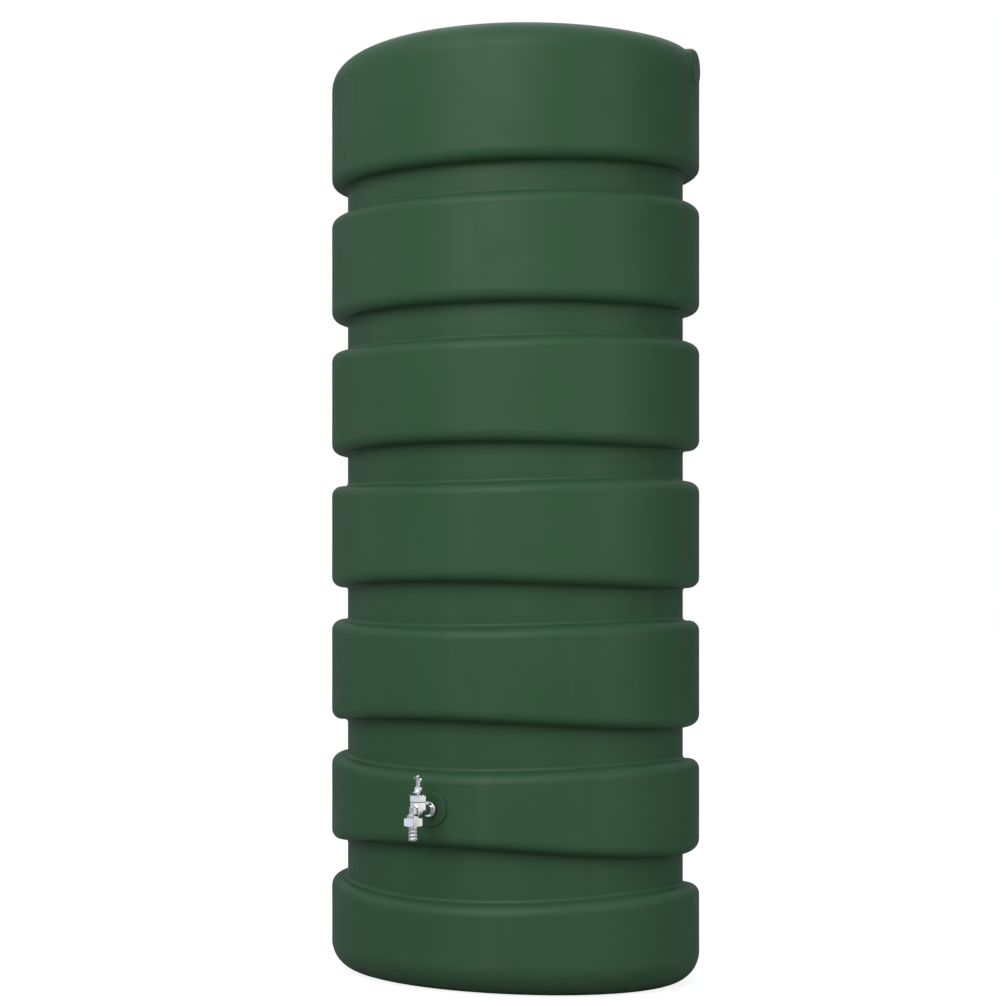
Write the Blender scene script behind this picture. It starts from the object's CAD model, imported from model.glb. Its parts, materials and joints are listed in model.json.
import json
import math

import bpy
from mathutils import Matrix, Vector

# Tall oval rain barrel in dark green rotomoulded plastic, with a chrome tap.
# Metres, +Z up, the tap on the -Y side, the origin on the ground under the middle.

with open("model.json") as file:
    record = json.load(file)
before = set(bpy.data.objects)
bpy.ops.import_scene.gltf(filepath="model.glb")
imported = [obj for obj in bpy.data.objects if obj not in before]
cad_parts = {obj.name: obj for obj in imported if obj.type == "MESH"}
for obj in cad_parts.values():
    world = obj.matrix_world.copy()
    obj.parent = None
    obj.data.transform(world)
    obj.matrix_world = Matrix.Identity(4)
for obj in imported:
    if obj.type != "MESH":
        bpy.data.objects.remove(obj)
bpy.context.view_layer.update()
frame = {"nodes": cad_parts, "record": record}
record = frame["record"]
nodes = frame["nodes"]

# ---- camera: level, well back, looking at the tap side from its right
CAMERA_TURN = math.radians(31.6)        # round from the tap's own axis
CAMERA_DISTANCE = 4.752
CAMERA_HEIGHT = 0.7706
CAMERA_SIDE = -0.0251
CAMERA_LENS = 86.4
CAMERA_SENSOR = 36.0
CAMERA_SHIFT = 0.083
RIGHT = Vector((math.cos(CAMERA_TURN), math.sin(CAMERA_TURN), 0.0))
AHEAD = Vector((-math.sin(CAMERA_TURN), math.cos(CAMERA_TURN), 0.0))
UP = Vector((0.0, 0.0, 1.0))

# ---- colours, linear
GREEN = (0.030, 0.084, 0.037)
GREEN_PALE = (0.037, 0.095, 0.045)
GREEN_LID = (0.026, 0.072, 0.033)
CHROME = (0.86, 0.87, 0.89)
BRASS = (0.62, 0.43, 0.17)
RUBBER = (0.018, 0.018, 0.019)
PACKING = (0.52, 0.50, 0.44)
STEEL = (0.55, 0.55, 0.56)
FLOOR = (0.30, 0.30, 0.30)
FLOOR_PALE = (0.33, 0.33, 0.33)
PAPER = (0.93, 0.93, 0.93)
SPECK = (0.11, 0.16, 0.12)              # pale grain in the green plastic
STREAK = (0.16, 0.19, 0.16)             # dried runs of water
SCUFF = (0.17, 0.21, 0.18)
SOIL = (0.12, 0.10, 0.07)               # splashed round the base
WATER_SPOT = (0.70, 0.72, 0.74)
BRASS_DULL = (0.42, 0.29, 0.12)
STEEL_DULL = (0.36, 0.36, 0.36)
RUBBER_BLOOM = (0.055, 0.055, 0.056)
GREASE = (0.30, 0.28, 0.22)
ROOM = (0.86, 0.93, 1.0)

# ---- lights: name, turn and rise in degrees, distance, size, power, colour
MIDDLE = Vector((0.0, 0.0, 1.05))
SOFTBOXES = [
    ("key", -34, 30, 5.4, (4.0, 4.0), 172.0, (1.0, 1.0, 1.0)),
    ("side", -100, 12, 4.0, (2.0, 2.6), 6.5, (1.0, 1.0, 1.0)),
    ("left strip", -63, -14, 2.6, (0.35, 0.9), 0.5, (0.75, 0.82, 1.0)),
    ("right strip", 57, -16, 2.4, (0.9, 0.8), 1.5, (1.0, 0.97, 0.90)),
    ("front strip", 16, -19, 2.5, (0.8, 0.5), 0.85, (1.0, 0.97, 0.91)),
    ("fill", 34, 14, 5.0, (2.6, 3.0), 45.0, (1.0, 1.0, 1.0)),
    ("back", 175, 60, 4.0, (3.0, 3.0), 24.0, (0.90, 0.96, 1.0)),
]
ROOM_LOW = 0.08                         # strength of the room's light from below the horizon
ROOM_HIGH = 0.75                        # and from overhead
ROOM_RAMP = (-0.1, 0.9)                 # sine of the rise at which each is reached
PAPER_GLOW = 0.92                       # how bright the floor is to the camera
FLOOR_REACH = 30.0


# ------------------------------------------------------------------ materials

class Nodes:
    """A material's node tree, with short calls to add and join nodes."""

    def __init__(self, name):
        self.material = bpy.data.materials.new(name)
        self.material.use_nodes = True
        self.tree = self.material.node_tree
        self.shader = self.tree.nodes["Principled BSDF"]
        self.place = self.add("ShaderNodeTexCoord").outputs["Object"]

    def add(self, kind, **values):
        node = self.tree.nodes.new(kind)
        for key, value in values.items():
            setattr(node, key, value)
        return node

    def join(self, source, target):
        self.tree.links.new(source, target)

    def noise(self, scale, detail=3.0, rough=0.55, stretch=(1.0, 1.0, 1.0)):
        """Noise from 0 to 1 in the object's own coordinates."""
        mapping = self.add("ShaderNodeMapping")
        mapping.inputs["Scale"].default_value = stretch
        texture = self.add("ShaderNodeTexNoise")
        texture.inputs["Scale"].default_value = scale
        texture.inputs["Detail"].default_value = detail
        texture.inputs["Roughness"].default_value = rough
        self.join(self.place, mapping.inputs["Vector"])
        self.join(mapping.outputs["Vector"], texture.inputs["Vector"])
        return texture.outputs[0]

    def span(self, source, low, high, start, end):
        """Maps low..high of a value to start..end, held at both ends."""
        node = self.add("ShaderNodeMapRange")
        node.inputs["From Min"].default_value = low
        node.inputs["From Max"].default_value = high
        node.inputs["To Min"].default_value = start
        node.inputs["To Max"].default_value = end
        self.join(source, node.inputs["Value"])
        return node.outputs["Result"]

    def times(self, first, second):
        node = self.add("ShaderNodeMath", operation="MULTIPLY")
        self.join(first, node.inputs[0])
        self.join(second, node.inputs[1])
        return node.outputs[0]

    def blend(self, amount, first, second):
        """Colour between two, each a colour or a socket."""
        node = self.add("ShaderNodeMix", data_type="RGBA")
        self.join(amount, node.inputs["Factor"])
        for socket, value in ((node.inputs[6], first), (node.inputs[7], second)):
            if isinstance(value, tuple):
                socket.default_value = (*value, 1.0)
            else:
                self.join(value, socket)
        return node.outputs[2]

    def height(self, low, high):
        """0 at one height of the object and 1 at another."""
        axes = self.add("ShaderNodeSeparateXYZ")
        self.join(self.place, axes.inputs[0])
        return self.span(axes.outputs["Z"], low, high, 0.0, 1.0)

    def bump(self, *layers):
        """Stacks bump layers, each (height, distance in metres, strength)."""
        normal = None
        for source, distance, strength in layers:
            node = self.add("ShaderNodeBump")
            node.inputs["Distance"].default_value = distance
            node.inputs["Strength"].default_value = strength
            self.join(source, node.inputs["Height"])
            if normal is not None:
                self.join(normal, node.inputs["Normal"])
            normal = node.outputs["Normal"]
        self.join(normal, self.shader.inputs["Normal"])

    def set(self, **values):
        for key, value in values.items():
            self.shader.inputs[key.replace("_", " ")].default_value = value


def moulded_plastic(name, dark, pale, soil):
    """Satin rotomoulded polyethylene: mottled, finely pebbled, a little dusty and scuffed."""
    m = Nodes(name)
    cloud = m.span(m.noise(2.6, 4.0), 0.32, 0.68, 0.0, 1.0)
    colour = m.blend(cloud, dark, pale)
    speck = m.span(m.noise(420.0, 2.0), 0.62, 0.78, 0.0, 0.16)
    colour = m.blend(speck, colour, SPECK)
    streak = m.span(m.noise(9.0, 5.0, 0.6, (1.0, 1.0, 0.09)), 0.56, 0.8, 0.0, 0.10)
    colour = m.blend(streak, colour, STREAK)
    scuff = m.span(m.noise(34.0, 6.0, 0.7, (1.0, 1.0, 0.5)), 0.68, 0.80, 0.0, 0.14)
    colour = m.blend(scuff, colour, SCUFF)
    if soil:
        low = m.span(m.height(0.0, 0.09), 0.0, 1.0, 1.0, 0.0)
        splash = m.span(m.noise(28.0, 6.0, 0.65), 0.45, 0.75, 0.0, 0.30)
        colour = m.blend(m.times(low, splash), colour, SOIL)
    m.join(colour, m.shader.inputs["Base Color"])
    m.join(m.span(m.noise(14.0, 5.0), 0.3, 0.7, 0.40, 0.52), m.shader.inputs["Roughness"])
    m.bump((m.noise(4.2, 2.0, 0.5, (1.0, 1.0, 1.6)), 0.0022, 0.5),
           (m.noise(330.0, 3.0), 0.00018, 0.55))
    m.set(Specular_IOR_Level=0.2)
    return m.material


def polished_chrome(name):
    """Chrome plate with dried water spots, faint buffing marks and slightly cloudy patches."""
    m = Nodes(name)
    spots = m.span(m.noise(260.0, 2.0), 0.60, 0.70, 0.0, 0.35)
    m.join(m.blend(spots, CHROME, WATER_SPOT), m.shader.inputs["Base Color"])
    m.join(m.span(m.noise(90.0, 5.0), 0.3, 0.75, 0.04, 0.13), m.shader.inputs["Roughness"])
    m.bump((m.noise(120.0, 3.0), 0.00010, 0.25), (m.noise(900.0, 2.0), 0.00002, 0.25))
    m.set(Metallic=1.0)
    return m.material


def worn_metal(name, colour, dull, rough):
    """Bare metal with turning marks and duller, darker patches."""
    m = Nodes(name)
    patch = m.span(m.noise(70.0, 5.0), 0.4, 0.7, 0.0, 0.6)
    m.join(m.blend(patch, colour, dull), m.shader.inputs["Base Color"])
    m.join(m.span(m.noise(160.0, 4.0), 0.3, 0.7, rough, rough + 0.18), m.shader.inputs["Roughness"])
    m.bump((m.noise(40.0, 2.0, 0.5, (1.0, 1.0, 40.0)), 0.00004, 0.5))
    m.set(Metallic=1.0)
    return m.material


def soft_black(name):
    """Moulded rubber with pale bloom and a fine grain."""
    m = Nodes(name)
    bloom = m.span(m.noise(60.0, 5.0), 0.45, 0.75, 0.0, 0.4)
    m.join(m.blend(bloom, RUBBER, RUBBER_BLOOM), m.shader.inputs["Base Color"])
    m.join(m.span(m.noise(30.0, 3.0), 0.3, 0.7, 0.62, 0.8), m.shader.inputs["Roughness"])
    m.bump((m.noise(700.0, 3.0), 0.00008, 0.5))
    return m.material


def waxed_cord(name):
    """Plaited packing: pale, fibrous, with greasy patches."""
    m = Nodes(name)
    grease = m.span(m.noise(300.0, 4.0), 0.4, 0.7, 0.0, 0.7)
    m.join(m.blend(grease, PACKING, GREASE), m.shader.inputs["Base Color"])
    m.join(m.span(m.noise(200.0, 3.0), 0.3, 0.7, 0.6, 0.85), m.shader.inputs["Roughness"])
    m.bump((m.noise(900.0, 3.0, 0.6, (1.0, 1.0, 3.0)), 0.0002, 0.7))
    return m.material


def pale_floor(name):
    """Plain seamless paper: near white to the camera, and dim in what it sends back up."""
    m = Nodes(name)
    paper = m.add("ShaderNodeEmission")
    seen = m.add("ShaderNodeLightPath")
    mix = m.add("ShaderNodeMixShader")
    out = m.tree.nodes["Material Output"]
    cloud = m.span(m.noise(1.2, 3.0), 0.3, 0.7, 0.0, 1.0)
    m.join(m.blend(cloud, FLOOR, FLOOR_PALE), m.shader.inputs["Base Color"])
    m.set(Roughness=0.9)
    paper.inputs["Color"].default_value = (*PAPER, 1.0)
    both = m.add("ShaderNodeAddShader")
    m.join(m.shader.outputs[0], both.inputs[0])
    m.join(paper.outputs[0], both.inputs[1])
    m.join(seen.outputs["Is Camera Ray"], mix.inputs[0])
    m.join(m.shader.outputs[0], mix.inputs[1])
    m.join(both.outputs[0], mix.inputs[2])
    m.join(mix.outputs[0], out.inputs["Surface"])
    paper.inputs["Strength"].default_value = PAPER_GLOW
    return m.material


FINISHES = {
    "tank_green": moulded_plastic("tank plastic", GREEN, GREEN_PALE, True),
    "lid_green": moulded_plastic("lid plastic", GREEN_LID, GREEN, False),
    "black_rubber": soft_black("rubber"),
    "packing": waxed_cord("packing"),
    "brass": worn_metal("brass", BRASS, BRASS_DULL, 0.26),
    "chrome": polished_chrome("chrome"),
    "steel": worn_metal("steel", STEEL, STEEL_DULL, 0.24),
}


def paint_nodes():
    """Gives every CAD node the finish of its slot in the record."""
    for part in record["subparts"]:
        data = nodes[part["node"]].data
        data.materials.clear()
        data.materials.append(FINISHES[part["material_slot"]])


# ------------------------------------------------------------------ studio

def add_floor():
    r = FLOOR_REACH
    data = bpy.data.meshes.new("floor")
    corners = [(-r, -r, 0), (r, -r, 0), (r, r, 0), (-r, r, 0)]
    data.from_pydata(corners, [], [(0, 1, 2, 3)])
    data.materials.append(pale_floor("studio floor"))
    floor = bpy.data.objects.new("floor", data)
    bpy.context.scene.collection.objects.link(floor)


def add_softbox(name, place, target, size, power, colour):
    light = bpy.data.lights.new(name, "AREA")
    light.shape = "RECTANGLE"
    light.size, light.size_y = size
    light.energy = power
    light.color = colour
    lamp = bpy.data.objects.new(name, light)
    lamp.location = place
    lamp.rotation_euler = (Vector(target) - Vector(place)).to_track_quat("-Z", "Y").to_euler()
    bpy.context.scene.collection.objects.link(lamp)


def round_the_tank(turn, rise, distance):
    """A place round the tank: turn from the camera's side to its right, rise above level."""
    level = RIGHT * math.sin(turn) - AHEAD * math.cos(turn)
    return MIDDLE + (level * math.cos(rise) + UP * math.sin(rise)) * distance


def add_lights():
    for name, turn, rise, distance, size, power, colour in SOFTBOXES:
        place = round_the_tank(math.radians(turn), math.radians(rise), distance)
        add_softbox(name, place, MIDDLE, size, power, colour)


def add_world():
    """White paper to the camera; a dim room that is lighter above to everything else."""
    world = bpy.data.worlds.new("studio")
    bpy.context.scene.world = world
    world.use_nodes = True
    tree = world.node_tree
    tree.nodes.clear()
    place = tree.nodes.new("ShaderNodeTexCoord")
    axes = tree.nodes.new("ShaderNodeSeparateXYZ")
    ramp = tree.nodes.new("ShaderNodeMapRange")
    room = tree.nodes.new("ShaderNodeBackground")
    paper = tree.nodes.new("ShaderNodeBackground")
    seen = tree.nodes.new("ShaderNodeLightPath")
    mix = tree.nodes.new("ShaderNodeMixShader")
    out = tree.nodes.new("ShaderNodeOutputWorld")
    ramp.inputs["From Min"].default_value = ROOM_RAMP[0]
    ramp.inputs["From Max"].default_value = ROOM_RAMP[1]
    ramp.inputs["To Min"].default_value = ROOM_LOW
    ramp.inputs["To Max"].default_value = ROOM_HIGH
    tree.links.new(place.outputs["Generated"], axes.inputs[0])
    tree.links.new(axes.outputs["Z"], ramp.inputs["Value"])
    tree.links.new(ramp.outputs["Result"], room.inputs["Strength"])
    tree.links.new(seen.outputs["Is Camera Ray"], mix.inputs[0])
    tree.links.new(room.outputs[0], mix.inputs[1])
    tree.links.new(paper.outputs[0], mix.inputs[2])
    tree.links.new(mix.outputs[0], out.inputs["Surface"])
    room.inputs["Color"].default_value = (*ROOM, 1.0)
    paper.inputs["Color"].default_value = (1.0, 1.0, 1.0, 1.0)


def add_camera():
    data = bpy.data.cameras.new("camera")
    data.lens = CAMERA_LENS
    data.sensor_width = CAMERA_SENSOR
    data.shift_y = CAMERA_SHIFT
    camera = bpy.data.objects.new("camera", data)
    camera.location = RIGHT * CAMERA_SIDE - AHEAD * CAMERA_DISTANCE + UP * CAMERA_HEIGHT
    camera.rotation_euler = AHEAD.to_track_quat("-Z", "Y").to_euler()
    bpy.context.scene.collection.objects.link(camera)
    bpy.context.scene.camera = camera


paint_nodes()
add_floor()
add_lights()
add_world()
add_camera()
bpy.context.scene.view_settings.view_transform = "Standard"
